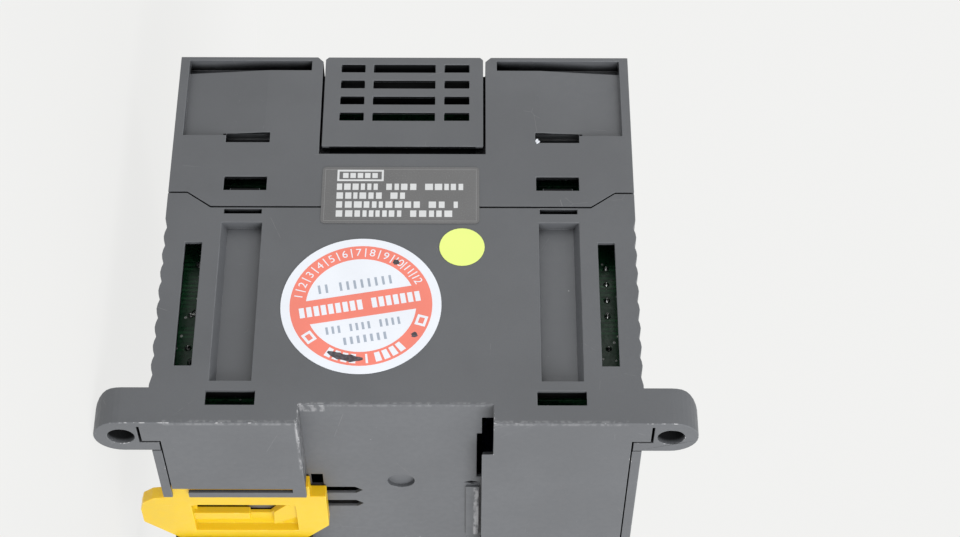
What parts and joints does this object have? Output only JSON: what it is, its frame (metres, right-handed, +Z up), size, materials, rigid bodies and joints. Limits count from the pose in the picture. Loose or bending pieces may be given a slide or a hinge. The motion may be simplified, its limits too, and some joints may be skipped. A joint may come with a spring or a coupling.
{
  "type": "plc module",
  "caption": "Rail-mounted programmable controller module: ribbed charcoal case with mounting ears, a rear rail channel with a sliding latch, vented side and hinged terminal covers.",
  "frame": {"origin": "on the floor of the rail channel in the rear face, at the rail's centre line and half way across the width", "axes": "+X to the module's right side as it hangs on its rail, -Y out of the front, +Z up"},
  "size_m": [0.0701, 0.085, 0.11],
  "materials": {
    "rear_case": "fine-grained moulded charcoal grey",
    "upper_end_wall": "fine-grained moulded charcoal grey",
    "lower_end_wall": "fine-grained moulded charcoal grey",
    "front_case": "fine-grained moulded charcoal grey",
    "centre_cover": "fine-grained moulded charcoal grey",
    "upper_terminal_cover": "fine-grained moulded charcoal grey",
    "lower_terminal_cover": "fine-grained moulded charcoal grey",
    "port_cover": "fine-grained moulded charcoal grey",
    "din_lever": "satin yellow nylon",
    "connector_label": "semi-gloss black film",
    "inspection_sticker": "satin printed paper film",
    "colour_dot": "matte paper film",
    "indicator_lens": "smoked glossy plastic",
    "light_pipe": "clear moulded plastic",
    "port_shell": "plated steel",
    "port_insert": "black moulded plastic",
    "mode_switch_body": "plated steel",
    "mode_switch_slider": "black moulded plastic",
    "output_board": "green solder mask",
    "power_board": "green solder mask",
    "terminal_board": "green solder mask",
    "indicator_board": "green solder mask",
    "board_connector_right": "cream moulded plastic",
    "board_connector_left": "cream moulded plastic",
    "expansion_connector": "black moulded plastic",
    "transformer_core": "sintered ferrite",
    "transformer_winding": "yellow film tape",
    "capacitor_large": "shrink sleeve",
    "capacitor_small": "shrink sleeve",
    "relay_1": "moulded plastic",
    "relay_2": "moulded plastic",
    "relay_3": "moulded plastic",
    "processor": "black epoxy",
    "backup_battery": "plated steel can",
    "upper_terminal_block": "black moulded plastic",
    "lower_terminal_block": "black moulded plastic",
    "upper_terminal_screw_1": "plated steel",
    "upper_terminal_screw_2": "plated steel",
    "upper_terminal_screw_3": "plated steel",
    "upper_terminal_screw_4": "plated steel",
    "upper_terminal_screw_5": "plated steel",
    "upper_terminal_screw_6": "plated steel",
    "upper_terminal_screw_7": "plated steel",
    "upper_terminal_screw_8": "plated steel",
    "upper_terminal_screw_9": "plated steel",
    "lower_terminal_screw_1": "plated steel",
    "lower_terminal_screw_2": "plated steel",
    "lower_terminal_screw_3": "plated steel",
    "lower_terminal_screw_4": "plated steel",
    "lower_terminal_screw_5": "plated steel",
    "lower_terminal_screw_6": "plated steel",
    "lower_terminal_screw_7": "plated steel",
    "lower_terminal_screw_8": "plated steel",
    "lower_terminal_screw_9": "plated steel"
  },
  "bodies": {
    "case": {"rear_case": "rear_case", "upper_end_wall": "upper_end_wall", "lower_end_wall": "lower_end_wall", "front_case": "front_case", "centre_cover": "centre_cover", "connector_label": "connector_label", "inspection_sticker": "inspection_sticker", "colour_dot": "colour_dot", "indicator_lens": "indicator_lens", "light_pipe": "light_pipe", "port_shell": "port_shell", "port_insert": "port_insert", "mode_switch_body": "mode_switch_body", "output_board": "output_board", "power_board": "power_board", "terminal_board": "terminal_board", "indicator_board": "indicator_board", "board_connector_right": "board_connector_right", "board_connector_left": "board_connector_left", "expansion_connector": "expansion_connector", "transformer_core": "transformer_core", "transformer_winding": "transformer_winding", "capacitor_large": "capacitor_large", "capacitor_small": "capacitor_small", "relay_1": "relay_1", "relay_2": "relay_2", "relay_3": "relay_3", "processor": "processor", "backup_battery": "backup_battery", "upper_terminal_block": "upper_terminal_block", "lower_terminal_block": "lower_terminal_block", "upper_terminal_screw_1": "upper_terminal_screw_1", "upper_terminal_screw_2": "upper_terminal_screw_2", "upper_terminal_screw_3": "upper_terminal_screw_3", "upper_terminal_screw_4": "upper_terminal_screw_4", "upper_terminal_screw_5": "upper_terminal_screw_5", "upper_terminal_screw_6": "upper_terminal_screw_6", "upper_terminal_screw_7": "upper_terminal_screw_7", "upper_terminal_screw_8": "upper_terminal_screw_8", "upper_terminal_screw_9": "upper_terminal_screw_9", "lower_terminal_screw_1": "lower_terminal_screw_1", "lower_terminal_screw_2": "lower_terminal_screw_2", "lower_terminal_screw_3": "lower_terminal_screw_3", "lower_terminal_screw_4": "lower_terminal_screw_4", "lower_terminal_screw_5": "lower_terminal_screw_5", "lower_terminal_screw_6": "lower_terminal_screw_6", "lower_terminal_screw_7": "lower_terminal_screw_7", "lower_terminal_screw_8": "lower_terminal_screw_8", "lower_terminal_screw_9": "lower_terminal_screw_9"},
    "rail_latch": {"din_lever": "din_lever"},
    "upper_lid": {"upper_terminal_cover": "upper_terminal_cover"},
    "lower_lid": {"lower_terminal_cover": "lower_terminal_cover"},
    "door": {"port_cover": "port_cover"},
    "switch": {"mode_switch_slider": "mode_switch_slider"}
  },
  "joints": [
    {"name": "rail_latch_slide", "type": "slide", "parent": "case", "child": "rail_latch", "axis": [0, 0, -1], "range_m": [0, 0.005]},
    {"name": "upper_lid_hinge", "type": "hinge", "parent": "case", "child": "upper_lid", "pos_m": [0, -0.0798, 0.0199], "axis": [1, 0, 0], "range_deg": [0, 100]},
    {"name": "lower_lid_hinge", "type": "hinge", "parent": "case", "child": "lower_lid", "pos_m": [0, -0.0798, -0.0199], "axis": [-1, 0, 0], "range_deg": [0, 100]},
    {"name": "door_hinge", "type": "hinge", "parent": "case", "child": "door", "pos_m": [0.0289, -0.08, 0], "axis": [0, 0, 1], "range_deg": [0, 110]},
    {"name": "mode_switch_slide", "type": "slide", "parent": "case", "child": "switch", "axis": [1, 0, 0], "range_m": [0, 0.004]}
  ]
}
